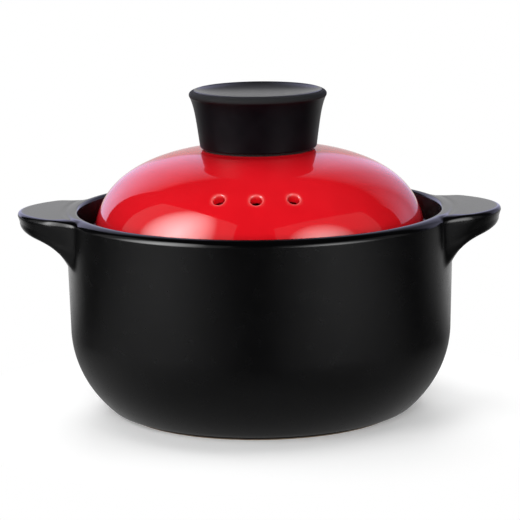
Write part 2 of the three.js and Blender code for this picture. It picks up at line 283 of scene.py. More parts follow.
# %% A glaze over clay
CLAY_PALE = (0.30, 0.21, 0.13)
CLAY_DEEP = (0.22, 0.15, 0.09)
CLAY_ROUGHNESS = 0.9
CLAY_GRAINS = 900
WIPED_EDGE = 0.2 * MM
GLOSS_GRAINS = 140
PEEL_GRAINS = 420
PEEL_STRENGTH = 0.3
THIN_GLAZE_AND_HIGHLIGHT = "thin_glaze_and_highlight"


def bare_below(tree, height):
    """1 below that height and 0 above it, with a soft edge where the glaze was wiped off."""
    return number_drift(tree, own_axes(tree)["Z"], 1, 0, height - WIPED_EDGE, height + WIPED_EDGE)


def glaze(name, dark, light, thin_and_highlight, drift_grains, gloss, flat_share, sheen, peel_depth, bare_height):
    """A glaze: thin_and_highlight is its colour over an edge, where the glaze runs thinner and a painted
    highlight is added; sheen is the strength of its mirror.
    """
    finish, tree, shader = new_finish(name)
    colour = mottled(tree, noise_at(tree, drift_grains, 3), dark, light)
    # The edge colour at the lid's steam holes is partly thinner glaze and partly a painted highlight.
    edges = add_node(tree, "Attribute", attribute_name=THIN_GLAZE_AND_HIGHLIGHT).outputs["Fac"]
    colour = blend(tree, edges, colour, (*thin_and_highlight, 1))
    clay = mottled(tree, noise_at(tree, CLAY_GRAINS, 6), CLAY_DEEP, CLAY_PALE)
    bare = bare_below(tree, bare_height)
    tree.links.new(blend(tree, bare, colour, clay), shader.inputs["Base Color"])
    rough = smoother_above(tree, number_drift(tree, noise_at(tree, GLOSS_GRAINS, 4), *gloss), flat_share)
    tree.links.new(blend(tree, bare, rough, CLAY_ROUGHNESS, "FLOAT"), shader.inputs["Roughness"])
    shader.inputs["Specular IOR Level"].default_value = sheen
    surface_grain(tree, shader, PEEL_GRAINS, peel_depth, PEEL_STRENGTH)
    return finish


black_glaze = glaze(
    "satin_black_glaze",
    dark=(0.0006, 0.0006, 0.0008), light=(0.0014, 0.0014, 0.0016), thin_and_highlight=(0.01, 0.01, 0.01), drift_grains=30,
    gloss=(0.23, 0.28), flat_share=0.38, sheen=0.30, peel_depth=0.05 * MM, bare_height=0.5 * MM,
)
# The red glaze's paler edge colour is thinner glaze with a painted highlight at the steam holes.
red_glaze = glaze(
    "gloss_red_glaze",
    dark=(0.70, 0.0062, 0.0125), light=(0.80, 0.0085, 0.0165), thin_and_highlight=(0.85, 0.11, 0.11), drift_grains=22,
    gloss=(0.035, 0.055), flat_share=1, sheen=0.5, peel_depth=0.02 * MM, bare_height=LID_BOTTOM + 0.4 * MM,
)
print("glazes:", black_glaze.name, red_glaze.name)

# %% [markdown]
# ## Finishes of the knob and its fixing
# The knob is moulded resin with a fine matt grain, the soft washers are silicone, and the fixing is brass
# and stainless steel turned from bar. None of them is one flat colour: the resin is slightly mottled, and
# on its lip it is rougher and painted a paler grey, a painted sheen for the light band that the lip's
# rounded face catches; the metals are a little uneven from handling, and silicone picks up dust.

# %% Resin, silicone and metal
MOTTLE_GRAINS = 160
GRAIN_STRENGTH = 0.4


def plain_finish(name, dark, light, rough, grains, grain_depth, flat_share=1, metal=0, sheen=0.5):
    """A moulded or turned finish: a mottled colour, uneven gloss and a fine grain."""
    finish, tree, shader = new_finish(name)
    mottle = noise_at(tree, MOTTLE_GRAINS, 4)
    tree.links.new(mottled(tree, mottle, dark, light), shader.inputs["Base Color"])
    rough = smoother_above(tree, number_drift(tree, mottle, *rough), flat_share)
    tree.links.new(rough, shader.inputs["Roughness"])
    shader.inputs["Metallic"].default_value = metal
    shader.inputs["Specular IOR Level"].default_value = sheen
    surface_grain(tree, shader, grains, grain_depth, GRAIN_STRENGTH)
    return finish


def paint_lip_sheen(finish, tone, rough, radius, height, fade):
    """Makes a finish paler and rougher beyond a radius and above a height; the paler colour is a painted
    sheen.
    """
    tree = finish.node_tree
    level = add_node(tree, "VectorMath", {0: own_places(tree), 1: (1, 1, 0)}, operation="MULTIPLY")
    away = add_node(tree, "VectorMath", {0: level.outputs["Vector"]}, operation="LENGTH")
    outside = number_drift(tree, away.outputs["Value"], 0, 1, radius - fade, radius + fade)
    above = number_drift(tree, own_axes(tree)["Z"], 0, 1, height - fade, height + fade)
    share = worked_out(tree, "MULTIPLY", outside, above)
    for socket, lip_value, kind in (("Base Color", (*tone, 1), "RGBA"), ("Roughness", rough, "FLOAT")):
        target = tree.nodes["Principled BSDF"].inputs[socket]
        tree.links.new(blend(tree, share, target.links[0].from_socket, lip_value, kind), target)


knob_resin = plain_finish(
    "matt_knob_resin", dark=(0.0010, 0.0010, 0.0018), light=(0.0018, 0.0018, 0.0028), rough=(0.38, 0.44),
    grains=1500, grain_depth=0.05 * MM, flat_share=0.4, sheen=0.10,
)
# The lip is painted a paler grey, a painted sheen for the light band its rounded face catches, and made
# rougher.
paint_lip_sheen(
    knob_resin, tone=(0.014, 0.014, 0.015), rough=0.7,
    radius=LIP_RADIUS - 2.6 * MM, height=KNOB_TOP - 3.6 * MM, fade=0.3 * MM,
)
soft_silicone = plain_finish(
    "soft_silicone", dark=(0.004, 0.004, 0.004), light=(0.009, 0.009, 0.009), rough=(0.7, 0.85),
    grains=900, grain_depth=0.05 * MM, sheen=0.3,
)
turned_brass = plain_finish(
    "turned_brass", dark=(0.40, 0.24, 0.06), light=(0.50, 0.32, 0.10), rough=(0.28, 0.42),
    grains=2500, grain_depth=0.02 * MM, metal=1,
)
bright_steel = plain_finish(
    "bright_steel", dark=(0.42, 0.43, 0.44), light=(0.52, 0.53, 0.54), rough=(0.22, 0.34),
    grains=2500, grain_depth=0.02 * MM, metal=1,
)
print("finishes:", [finish.name for finish in bpy.data.materials])

# %% [markdown]
# ## The pot's fixed outline
# Below the ears and inside, the pot is the same all the way round: a recessed underside, a foot ring that
# the pot stands on, a round belly, an almost upright wall, and inside it the steep gallery and the ledge
# that carry the lid. The belly is part of an ellipse, because the photograph shows it turn faster near
# the foot.

# %% The outline up to the ears
WALL_LEAN = 1.5 * MM
WALL_THICKNESS = 8 * MM
BELLY_TOP = 47.2 * MM
BELLY_INSET = 21.4 * MM
BELLY_SWEEP = 47.5
BELLY_EASE = 0.03
FOOT_TOP = 3 * MM
FOOT_INSET = 6.4 * MM
FOOT_WIDTH = 11 * MM
FOOT_EDGE = 0.8 * MM
RECESS = 1.5 * MM
RIM_WIDTH = 6.6 * MM
RIM_DROP = 3.8 * MM
RIM_FOOT = RIM_TOP - RIM_DROP
WAIST_RADIUS = RIM_RADIUS - WALL_LEAN
BASE_RADIUS = WAIST_RADIUS - BELLY_INSET
FOOT_RADIUS = BASE_RADIUS - FOOT_INSET


def wall_radius(height):
    """The outside of the wall at a height between the waist and the rim."""
    return WAIST_RADIUS + WALL_LEAN * (height - BELLY_TOP) / (RIM_FOOT - BELLY_TOP)


def belly(low, high, start, end, steps):
    """The round belly between two points, from one share of its sweep to another."""
    sweep = math.radians(BELLY_SWEEP)
    across = (high[0] - low[0]) / (1 - math.cos(sweep))
    up = (high[1] - low[1]) / math.sin(sweep)
    middle = (high[0] - across, high[1])
    return ellipse(middle, across, up, -BELLY_SWEEP * (1 - start), -BELLY_SWEEP * (1 - end), steps)


foot_inner = FOOT_RADIUS - FOOT_WIDTH
below_ears = [(0, RECESS)]
below_ears += straight(below_ears[-1], (foot_inner - 2 * FOOT_EDGE, RECESS), 6)
below_ears += curve([below_ears[-1], (foot_inner - FOOT_EDGE / 2, RECESS), (foot_inner, FOOT_EDGE)], 4)
below_ears += curve([below_ears[-1], (foot_inner, 0), (foot_inner + FOOT_EDGE, 0)], 4)
below_ears += straight(below_ears[-1], (FOOT_RADIUS - FOOT_EDGE, 0), 4)
below_ears += curve([below_ears[-1], (FOOT_RADIUS, 0), (FOOT_RADIUS, FOOT_EDGE)], 5)
below_ears += curve([below_ears[-1], (FOOT_RADIUS, FOOT_TOP), (FOOT_RADIUS + 2 * FOOT_EDGE, FOOT_TOP)], 6)
below_ears += straight(below_ears[-1], (BASE_RADIUS - FOOT_EDGE, FOOT_TOP), 3)
belly_low = (BASE_RADIUS, FOOT_TOP)
belly_high = (WAIST_RADIUS, BELLY_TOP)
belly_start = belly(belly_low, belly_high, 0, BELLY_EASE, 1)[0]
below_ears += curve([below_ears[-1], belly_low, belly_start], 4)
below_ears += belly(belly_low, belly_high, BELLY_EASE, 1, 30)
below_ears += straight(below_ears[-1], (wall_radius(EAR_ROOT), EAR_ROOT), 14)
print("outline below the ears:", len(below_ears), "points")

# %% The outline from the rim down to the inside floor
SEAT_HEIGHT = LID_BOTTOM - 0.3 * MM
GALLERY_RADIUS = RIM_RADIUS - RIM_WIDTH
SEAT_RADIUS = GALLERY_RADIUS - 7.7 * MM
SEAT_COVE = 4 * MM
LEDGE_RADIUS = SEAT_RADIUS - 6 * MM
LEDGE_UNDERSIDE = SEAT_HEIGHT - 3 * MM
BRACE_FOOT = SEAT_HEIGHT - 15 * MM
INNER_FLOOR = 10 * MM
FLOOR_RADIUS = BASE_RADIUS - 5.5 * MM
FLOOR_COVE = 8 * MM
FLOOR_EASE = 0.1
RIM_LEANNESS = 1.1
RIM_INNER_EDGE = 1.8 * MM
ROUND = 1.2 * MM
rim_crown = (GALLERY_RADIUS + RIM_INNER_EDGE, RIM_TOP)
inner_waist = (WAIST_RADIUS - WALL_THICKNESS, BELLY_TOP)
above_ears = ellipse((rim_crown[0], RIM_TOP - RIM_INNER_EDGE), RIM_INNER_EDGE, RIM_INNER_EDGE, 90, 180, 10)
gallery_foot = GALLERY_RADIUS - ROUND
above_ears += straight(above_ears[-1], (gallery_foot, SEAT_HEIGHT + SEAT_COVE), 8)
above_ears += curve([above_ears[-1], (gallery_foot, SEAT_HEIGHT), (SEAT_RADIUS, SEAT_HEIGHT)], 10)
above_ears += straight(above_ears[-1], (LEDGE_RADIUS + ROUND, SEAT_HEIGHT), 3)
above_ears += curve([above_ears[-1], (LEDGE_RADIUS, SEAT_HEIGHT), (LEDGE_RADIUS, SEAT_HEIGHT - ROUND)], 6)
above_ears += curve(
    [above_ears[-1], (LEDGE_RADIUS, LEDGE_UNDERSIDE), (LEDGE_RADIUS + ROUND, LEDGE_UNDERSIDE - ROUND)], 6
)
above_ears += straight(above_ears[-1], (wall_radius(BRACE_FOOT) - WALL_THICKNESS, BRACE_FOOT), 6)
above_ears += straight(above_ears[-1], inner_waist, 8)
inner_floor_edge = (FLOOR_RADIUS, INNER_FLOOR)
above_ears += belly(inner_floor_edge, inner_waist, 1, FLOOR_EASE, 20)
above_ears += curve([above_ears[-1], inner_floor_edge, (FLOOR_RADIUS - FLOOR_COVE, INNER_FLOOR)], 8)
above_ears += straight(above_ears[-1], (0, INNER_FLOOR), 10)
print("outline from rim to floor:", len(above_ears), "points")

# %% [markdown]
# ## The lug ears
# Each ear is a flat lug that runs out of the rim, with a hollow cove under it for the fingers and a soft
# edge all round. It could be a separate mesh pushed into the wall, but the photograph shows one unbroken
# coat of glaze over the joint. So the pot's own outline swells out at the ears' bearings: each bearing
# has its own section, and the skin runs over wall and ear alike.

# %% One section through an ear
EAR_HALF_ANGLE = math.asin(EAR_HALF_WIDTH / RIM_RADIUS)
EAR_REACH = EAR_TIP - RIM_RADIUS
EAR_DRAFT = 0.3 * MM
EAR_DROP = 0.1 * MM
EAR_TIP_EDGE = 2.2 * MM
EAR_SIDE_EDGE = 4.6 * MM
EAR_UNDER_EDGE = 4.5 * MM
EAR_TOP_POWER = 0.9
EAR_UNDER_POWER = 1.3
COVE_REACH = 16 * MM
COVE_PULL = (7.36 * MM, 13.86 * MM)
COVE_RISE = 15.4 * MM
UNDER_SLOPE = 0.34
RIM_GROOVE = 0.2 * MM
GROOVE_WIDTH = 1.6 * MM
COVE_STEPS = 16
EDGE_STEPS = 7
FACE_STEPS = 6
TOP_STEPS = 8
GROOVE_STEPS = 14


def ear_underside(reach):
    """Height of the ear's underside at a distance out from the wall."""
    if reach >= COVE_REACH:
        return EAR_ROOT + COVE_RISE + UNDER_SLOPE * (reach - COVE_REACH)
    bow = COVE_REACH - 2 * COVE_PULL[0]
    share = (math.sqrt(COVE_PULL[0] ** 2 + bow * max(reach, 0)) - COVE_PULL[0]) / bow
    return EAR_ROOT + 2 * share * (1 - share) * COVE_PULL[1] + share ** 2 * COVE_RISE


def ear_section(swell):
    """Points from the root of the cove, round the ear's edge and over its top to the crown of the rim."""
    root = wall_radius(EAR_ROOT)
    heel = (EAR_REACH - EAR_DRAFT) * swell ** EAR_UNDER_POWER
    tip = RIM_RADIUS + EAR_REACH * swell ** EAR_TOP_POWER
    top = RIM_TOP - EAR_DROP
    edge = min(EAR_UNDER_EDGE, heel / 2)
    upper_edge = EAR_SIDE_EDGE + (EAR_TIP_EDGE - EAR_SIDE_EDGE) * swell
    points = []
    for step in range(1, COVE_STEPS + 1):
        reach = (heel - edge) * step / COVE_STEPS
        points.append((root + reach, ear_underside(reach)))
    low = ear_underside(heel)
    points += curve([points[-1], (root + heel, low), (root + heel, low + edge)], EDGE_STEPS)
    points += straight(points[-1], (tip, top - upper_edge), FACE_STEPS)
    points += curve([points[-1], (tip, top), (tip - upper_edge, top)], EDGE_STEPS)
    groove_edge = (between(points[-1], rim_crown, 0.5)[0], top)
    points += straight(points[-1], groove_edge, TOP_STEPS)
    for step in range(1, GROOVE_STEPS + 1):
        out, rise = between(groove_edge, rim_crown, step / GROOVE_STEPS)
        away = (out - RIM_RADIUS) / GROOVE_WIDTH
        points.append((out, rise - RIM_GROOVE * math.exp(-away * away)))
    points[-1] = rim_crown
    return points


def plain_section():
    """The same number of points where there is no ear: up the wall and over the outside of the rim."""
    wall_steps = COVE_STEPS + EDGE_STEPS + FACE_STEPS
    rim_steps = EDGE_STEPS + TOP_STEPS + GROOVE_STEPS
    points = straight(below_ears[-1], (RIM_RADIUS, RIM_FOOT), wall_steps)
    across = RIM_RADIUS - rim_crown[0]
    return points + ellipse((rim_crown[0], RIM_FOOT), across, RIM_DROP, 0, 90, rim_steps, RIM_LEANNESS)


print("points in an ear's section:", len(ear_section(1)), "and in the wall's:", len(plain_section()))

# %% Sweep the sections around the pot
FULL_EAR = 0.5
EAR_STEP = 0.75
WALL_STEP = 1.5
EAR_ZONE = 27


def pot_bearings():
    """Bearings in degrees around the pot, closer together at the ears."""
    bearings = []
    bearing = -EAR_ZONE
    while bearing < 360 - EAR_ZONE:
        bearings.append(bearing)
        at_ear = bearing < EAR_ZONE or 180 - EAR_ZONE <= bearing < 180 + EAR_ZONE
        bearing += EAR_STEP if at_ear else WALL_STEP
    return bearings


def section_at(bearing):
    """The whole outline at one bearing: the ear's section where there is one, eased into the wall."""
    away = abs((math.radians(bearing) + math.pi / 2) % math.pi - math.pi / 2)
    swell = math.cos(min(away / EAR_HALF_ANGLE, 1) * math.pi / 2)
    plain = plain_section()
    if away >= EAR_HALF_ANGLE:
        return below_ears + plain + above_ears
    share = min(swell / FULL_EAR, 1)
    share = share * share * (3 - 2 * share)
    eased = [between(a, b, share) for a, b in zip(plain, ear_section(swell))]
    return below_ears + eased + above_ears


sections = [(math.radians(bearing), section_at(bearing)) for bearing in pot_bearings()]
pot_rings = []
for place in range(len(sections[0][1])):
    ring = []
    for bearing, section in sections:
        radius, height = section[place]
        ring.append((radius * math.cos(bearing), radius * math.sin(bearing), height))
    if sections[0][1][place][0] == 0:
        ring = ring[:1]
    pot_rings.append(ring)
pot_ware = finished_piece("pot_ware", *skin(pot_rings), black_glaze)
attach(pot_ware, "pot")
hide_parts("pot_body", "left_ear", "right_ear")

# %% [markdown]
# ## The lid's outline
# The lid is a dome that steepens into an upright band, which drops into the gallery, and its crown is
# ground flat for the knob. Its inside follows its outside at one wall thickness, as a cast lid's does, so
# the inner points are the outer ones moved in along the surface. The points on the dome are spaced evenly
# by length, which the steam holes need.

# %% Points on the dome, by length along it
LID_WALL = 6 * MM
PAD_RADIUS = 31 * MM
PAD_RISE = 0.2 * MM
PAD_EDGE = 0.5 * MM
CROWN = (PAD_RADIUS + PAD_EDGE, PAD_TOP - PAD_RISE)
DOME_FOOT = (LID_RADIUS, LID_BOTTOM + 6.2 * MM)
DOME_CROWN_PULL = (0.22, 0.976)
DOME_FOOT_PULL = (0.933, 0.811)
DOME_SAMPLES = 600


def dome_pull(out, up):
    """A corner of the dome's curve, as shares of its width and rise."""
    return (CROWN[0] + (DOME_FOOT[0] - CROWN[0]) * out, DOME_FOOT[1] + (CROWN[1] - DOME_FOOT[1]) * up)


dome_corners = [CROWN, dome_pull(*DOME_CROWN_PULL), dome_pull(*DOME_FOOT_PULL), DOME_FOOT]
dome_line = [CROWN] + curve(dome_corners, DOME_SAMPLES)
dome_lengths = [0.0]
for inner, outer in zip(dome_line, dome_line[1:]):
    dome_lengths.append(dome_lengths[-1] + math.dist(inner, outer))


def dome_at(length):
    """Radius and height on the dome at a length from its crown, and the outward direction there."""
    place = 0
    while place < DOME_SAMPLES - 1 and dome_lengths[place + 1] < length:
        place += 1
    span = dome_lengths[place + 1] - dome_lengths[place]
    spot = between(dome_line[place], dome_line[place + 1], (length - dome_lengths[place]) / span)
    before = dome_line[max(place - 1, 0)]
    after = dome_line[min(place + 2, DOME_SAMPLES)]
    run = math.dist(before, after)
    return spot, ((before[1] - after[1]) / run, (after[0] - before[0]) / run)


def dome_point(bearing, length, depth):
    """A point under the dome's surface by that depth, at a bearing and a length from the crown."""
    (radius, height), (out, up) = dome_at(length)
    radius -= depth * out
    return Vector((radius * math.cos(bearing), radius * math.sin(bearing), height - depth * up))


print("dome is", round(dome_lengths[-1] / MM, 1), "mm from crown to foot")

# %% The lid's rings, outside and inside
LID_STEPS = 240
DOME_STEP = 1.9 * MM
STEAM_RADIUS = LID_RADIUS - 14.2 * MM
BORE = 3.5 * MM
steam_length = next(length for length, spot in zip(dome_lengths, dome_line) if spot[0] >= STEAM_RADIUS)
lower_length = dome_lengths[-1] - steam_length
upper_steps = round(steam_length / DOME_STEP)
lower_steps = round(lower_length / DOME_STEP)
dome_stops = [steam_length * step / upper_steps for step in range(upper_steps + 1)]
dome_stops += [steam_length + lower_length * step / lower_steps for step in range(1, lower_steps + 1)]
outside = [dome_at(stop)[0] for stop in dome_stops]
inside = []
for stop in dome_stops:
    (radius, height), (out, up) = dome_at(stop)
    inside.append((radius - LID_WALL * out, height - LID_WALL * up))

lid_outline = [(BORE, PAD_TOP - PAD_EDGE)]
lid_outline += curve([lid_outline[-1], (BORE, PAD_TOP), (BORE + PAD_EDGE, PAD_TOP)], 3)
lid_outline += straight(lid_outline[-1], (PAD_RADIUS - PAD_EDGE, PAD_TOP), 6)
lid_outline += curve([lid_outline[-1], (PAD_RADIUS, PAD_TOP), CROWN], 5)
first_outside = len(lid_outline) - 1
lid_outline += outside[1:]
lid_outline += straight(lid_outline[-1], (LID_RADIUS, LID_BOTTOM + ROUND), 5)
lid_outline += curve([lid_outline[-1], (LID_RADIUS, LID_BOTTOM), (LID_RADIUS - ROUND, LID_BOTTOM)], 5)
skirt_inner = inside[-1][0]
lid_outline += straight(lid_outline[-1], (skirt_inner + ROUND, LID_BOTTOM), 3)
lid_outline += curve([lid_outline[-1], (skirt_inner, LID_BOTTOM), (skirt_inner, LID_BOTTOM + ROUND)], 5)
lid_outline += straight(lid_outline[-1], inside[-1], 6)
last_inside = len(lid_outline) - 1
lid_outline += inside[-2::-1]
inner_crown = inside[0][1]
lid_outline += straight(lid_outline[-1], (BORE + PAD_EDGE, inner_crown), 8)
lid_outline += curve([lid_outline[-1], (BORE, inner_crown), (BORE, inner_crown + PAD_EDGE)], 3)
print("lid outline:", len(lid_outline), "points,", len(dome_stops), "rings on the dome")

# %% [markdown]
# ## Steam holes
# Three holes near the front let steam out. They are pierced while the clay is soft, square to the surface,
# and the glaze rounds their edges and runs thinner and paler over them. The pale ring painted round each
# hole is partly that thinner glaze and partly a painted highlight for the bright ring each hole shows. A
# boolean cut would leave a hard edge and long narrow faces. Here a square patch of the skin is left out,
# inside and outside, and a collar of faces is laid from the patch's border down to the round hole and
# through to the other side. Each ring of the collar says how much of the pale colour, thinner glaze and
# painted highlight, it gets.

# %% Skin the lid, leaving square patches for the holes
HOLE_RADIUS = 3 * MM
HOLE_EDGE = 1.2 * MM
HOLE_BEAD = 0.15 * MM
HOLE_BEARINGS = (255, 270, 285)
LID_TURN = 1.2
HALF_PATCH = 4
COLLAR_STEPS = 4
EDGE_ARC = 5
THROUGH_STEPS = 3
# How much of the pale edge colour, thinner glaze and painted highlight, each collar ring gets.
THIN_AND_HIGHLIGHT_RINGS = {3: 0.25, 4: 0.9, 5: 1.0, 6: 1.0, 7: 0.6, 8: 0.2}
lid_bearings = [math.radians(360 * place / LID_STEPS - LID_TURN) for place in range(LID_STEPS)]
hole_places = [round(bearing * LID_STEPS / 360) for bearing in HOLE_BEARINGS]
patch_places = {place + shift for place in hole_places for shift in range(-HALF_PATCH, HALF_PATCH)}
outer_patch = range(first_outside + upper_steps - HALF_PATCH, first_outside + upper_steps + HALF_PATCH)
hole_inside = last_inside + lower_steps
inner_patch = range(hole_inside - HALF_PATCH, hole_inside + HALF_PATCH)
lid_points = []
lid_faces = []
for radius, height in lid_outline:
    lid_points.extend(turned_ring(radius, height, lid_bearings))
for low in range(len(lid_outline)):
    high = (low + 1) % len(lid_outline)
    gaps = patch_places if low in outer_patch or low in inner_patch else ()
    ring = range(LID_STEPS)
    lid_faces += ring_faces(ring, low * LID_STEPS, ring, high * LID_STEPS, gaps)
print("lid skin:", len(lid_points), "points,", len(hole_places), "patches left out")


# %% Lay a collar of faces into each hole
def patch_border():
    """Steps across and down from the hole's middle, once round the square patch."""
    side = range(-HALF_PATCH, HALF_PATCH)
    border = [(across, -HALF_PATCH) for across in side]
    border += [(HALF_PATCH, down) for down in side]
    border += [(-across, HALF_PATCH) for across in side]
    return border + [(-HALF_PATCH, -down) for down in side]


def collar_point(hole, across, down, depth):
    """A point under the dome by that depth, at distances across and down from a hole's middle."""
    length = steam_length + down
    return dome_point(lid_bearings[hole] + across / dome_at(length)[0][0], length, depth)


def collar_rings(border):
    """Rings from the border in to the hole and down its rounded edge: across, down and sink."""
    around = []
    for across, down in border:
        stop = dome_stops[upper_steps + down]
        turn = across * math.radians(360 / LID_STEPS)
        around.append((turn * dome_at(stop)[0][0], stop - steam_length))
    edge_radius = HOLE_RADIUS + HOLE_EDGE
    rings = []
    for step in range(1, COLLAR_STEPS + 1):
        ring = []
        for across, down in around:
            scale = 1 + (edge_radius / math.hypot(across, down) - 1) * step / COLLAR_STEPS
            ring.append((across * scale, down * scale, 0.0))
        rings.append(ring)
    for step in range(1, EDGE_ARC + 1):
        angle = math.radians(90 * step / EDGE_ARC)
        scale = (HOLE_RADIUS + HOLE_EDGE * (1 - math.sin(angle))) / edge_radius
        sink = HOLE_EDGE * (1 - math.cos(angle)) - HOLE_BEAD * math.cos(angle)
        rings.append([(across * scale, down * scale, sink) for across, down, _ in rings[COLLAR_STEPS - 1]])
    return rings


def add_collar(hole):
    """Faces from the outer border of the patch, through the hole, to the inner border."""
    border = patch_border()
    rings = collar_rings(border)
    middle = dome_point(lid_bearings[hole], steam_length, 0)
    axis = (middle - dome_point(lid_bearings[hole], steam_length, LID_WALL)).normalized()
    outer = [[collar_point(hole, a, d, 0) - axis * sink for a, d, sink in ring] for ring in rings]
    inner = [[collar_point(hole, a, d, LID_WALL) + axis * sink for a, d, sink in ring] for ring in rings]
    loops = list(outer)
    for step in range(1, THROUGH_STEPS):
        loops.append([a.lerp(b, step / THROUGH_STEPS) for a, b in zip(outer[-1], inner[-1])])
    loops += inner[::-1]
    top = [(first_outside + upper_steps + d) * LID_STEPS + (hole + a) % LID_STEPS for a, d in border]
    bottom = [(hole_inside - d) * LID_STEPS + (hole + a) % LID_STEPS for a, d in border]
    named = [top]
    for number, loop in enumerate(loops):
        named.append(list(range(len(lid_points), len(lid_points) + len(loop))))
        lid_points.extend(tuple(point) for point in loop)
        if number in THIN_AND_HIGHLIGHT_RINGS:
            thin_and_highlight_places.update((place, THIN_AND_HIGHLIGHT_RINGS[number]) for place in named[-1])
    named.append(bottom)
    for first, second in zip(named, named[1:]):
        for place in range(len(border)):
            after = (place + 1) % len(border)
            lid_faces.append([first[place], first[after], second[after], second[place]])


thin_and_highlight_places = {}
for hole in hole_places:
    add_collar(hole)
print("points with thin glaze:", len(thin_and_highlight_places))

# %% Make the lid and mark its thin glaze
lid_ware = finished_piece("lid_ware", lid_points, lid_faces, red_glaze)
# Marks the pale hole edges: thinner glaze with a painted highlight.
thin_glaze_and_highlight = lid_ware.data.attributes.new(THIN_GLAZE_AND_HIGHLIGHT, "FLOAT", "POINT")
for place, share in thin_and_highlight_places.items():
    thin_glaze_and_highlight.data[place].value = share
spare = bmesh.new()
spare.from_mesh(lid_ware.data)
bmesh.ops.delete(spare, geom=[v for v in spare.verts if not v.link_faces], context="VERTS")
spare.to_mesh(lid_ware.data)
spare.free()
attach(lid_ware, "lid")
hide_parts("lid")

# %% [markdown]
# ## The knob
# The knob is turned too: a flared grip whose lip is a rounded bead, a shallow dish that the thumb rests
# in, and a hollow underside with a boss for the brass insert. The lip matters most for the look, because
# it is the only place where the dark knob turns from the floor's reflection to the light from above.

# %% The knob's underside
KNOB_BASE = 31.6 * MM
KNOB_CORNER = 1 * MM
CHAMFER = 0.4 * MM
KNOB_WALL = 4 * MM
KNOB_TOP_WALL = 6 * MM
DISH_BOTTOM = KNOB_TOP - 3 * MM
HOLLOW_RADIUS = KNOB_BASE - KNOB_WALL
HOLLOW_TOP = DISH_BOTTOM - KNOB_TOP_WALL
BOSS_RADIUS = 10 * MM
BOSS_FILLET = 2 * MM
POCKET_RADIUS = 5.55 * MM
POCKET_TOP = INSERT_TOP + 0.3 * MM
chamfer_top = KNOB_BOTTOM + CHAMFER
knob_outline = [(0, POCKET_TOP)]
knob_outline += straight(knob_outline[-1], (POCKET_RADIUS, POCKET_TOP), 2)
knob_outline += straight(knob_outline[-1], (POCKET_RADIUS, chamfer_top), 4)
knob_outline += straight(knob_outline[-1], (POCKET_RADIUS + CHAMFER, KNOB_BOTTOM), 1)
knob_outline += straight(knob_outline[-1], (BOSS_RADIUS - CHAMFER, KNOB_BOTTOM), 2)
knob_outline += straight(knob_outline[-1], (BOSS_RADIUS, chamfer_top), 1)
knob_outline += straight(knob_outline[-1], (BOSS_RADIUS, HOLLOW_TOP - BOSS_FILLET), 4)
fillet_end = (BOSS_RADIUS + BOSS_FILLET, HOLLOW_TOP)
knob_outline += curve([knob_outline[-1], (BOSS_RADIUS, HOLLOW_TOP), fillet_end], 5)
knob_outline += straight(knob_outline[-1], (HOLLOW_RADIUS - KNOB_WALL, HOLLOW_TOP), 4)
hollow_side = (HOLLOW_RADIUS, HOLLOW_TOP - KNOB_WALL)
knob_outline += curve([knob_outline[-1], (HOLLOW_RADIUS, HOLLOW_TOP), hollow_side], 5)
knob_outline += straight(knob_outline[-1], (HOLLOW_RADIUS, chamfer_top), 4)
knob_outline += straight(knob_outline[-1], (HOLLOW_RADIUS + CHAMFER, KNOB_BOTTOM), 1)
knob_outline += straight(knob_outline[-1], (KNOB_BASE - KNOB_CORNER, KNOB_BOTTOM), 2)
print("underside of the knob:", len(knob_outline), "points")

# %% The knob's side, lip and dish
LIP_FOOT = (LIP_RADIUS - 0.6 * MM, KNOB_TOP - 4.2 * MM)
LIP_PULL = (LIP_RADIUS, KNOB_TOP - 3.4 * MM)
LIP_SIDE = (LIP_RADIUS, KNOB_TOP - 2.6 * MM)
SIDE_LEAN = 1.87 * MM
SIDE_LOW_SHARE = 0.53
SIDE_HIGH_SHARE = 0.22
LIP_FLARE = 0.42
BEAD_ACROSS = 4.8 * MM
BEAD_UP = 2.6 * MM
BEAD_SWEEP = 60
RIDGE = (LIP_RADIUS - 3.6 * MM, KNOB_TOP)
BEAD_END = (RIDGE[0] + 0.2 * MM, KNOB_TOP - 0.05 * MM)
DISH_EDGE = (RIDGE[0] - 1 * MM, KNOB_TOP - 0.4 * MM)
DISH_FLATNESS = 0.72
KNOB_STEPS = 192
corner_middle = (KNOB_BASE - KNOB_CORNER, KNOB_BOTTOM + KNOB_CORNER)
knob_outline += ellipse(corner_middle, KNOB_CORNER, KNOB_CORNER, -90, 0, 6)
side_foot = knob_outline[-1]
rise = LIP_FOOT[1] - side_foot[1]
high_drop = rise * SIDE_HIGH_SHARE
low_pull = (side_foot[0] + SIDE_LEAN, side_foot[1] + rise * SIDE_LOW_SHARE)
high_pull = (LIP_FOOT[0] - LIP_FLARE * high_drop, LIP_FOOT[1] - high_drop)
knob_outline += curve([side_foot, low_pull, high_pull, LIP_FOOT], 28)
knob_outline += curve([LIP_FOOT, LIP_PULL, LIP_SIDE], 6)
knob_outline += ellipse((LIP_RADIUS - BEAD_ACROSS, LIP_SIDE[1]), BEAD_ACROSS, BEAD_UP, 0, BEAD_SWEEP, 8)
knob_outline += straight(knob_outline[-1], BEAD_END, 3)
knob_outline += curve([knob_outline[-1], RIDGE, DISH_EDGE], 6)
knob_outline += curve([DISH_EDGE, (DISH_EDGE[0] * DISH_FLATNESS, DISH_BOTTOM), (0, DISH_BOTTOM)], 20)
knob_bearings = [math.radians(360 * place / KNOB_STEPS) for place in range(KNOB_STEPS)]
knob_rings = [turned_ring(radius, height, knob_bearings) for radius, height in knob_outline]
knob_grip = finished_piece("knob_grip", *skin(knob_rings), knob_resin)
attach(knob_grip, "lid")
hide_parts("knob")

# %% [markdown]
# ## The fixing under the knob
# The gasket, the washers, the insert and the screw are plain turned pieces, and their CAD shapes are
# right, so they stay and only get their finishes. They show when the lid is lifted and seen from below.

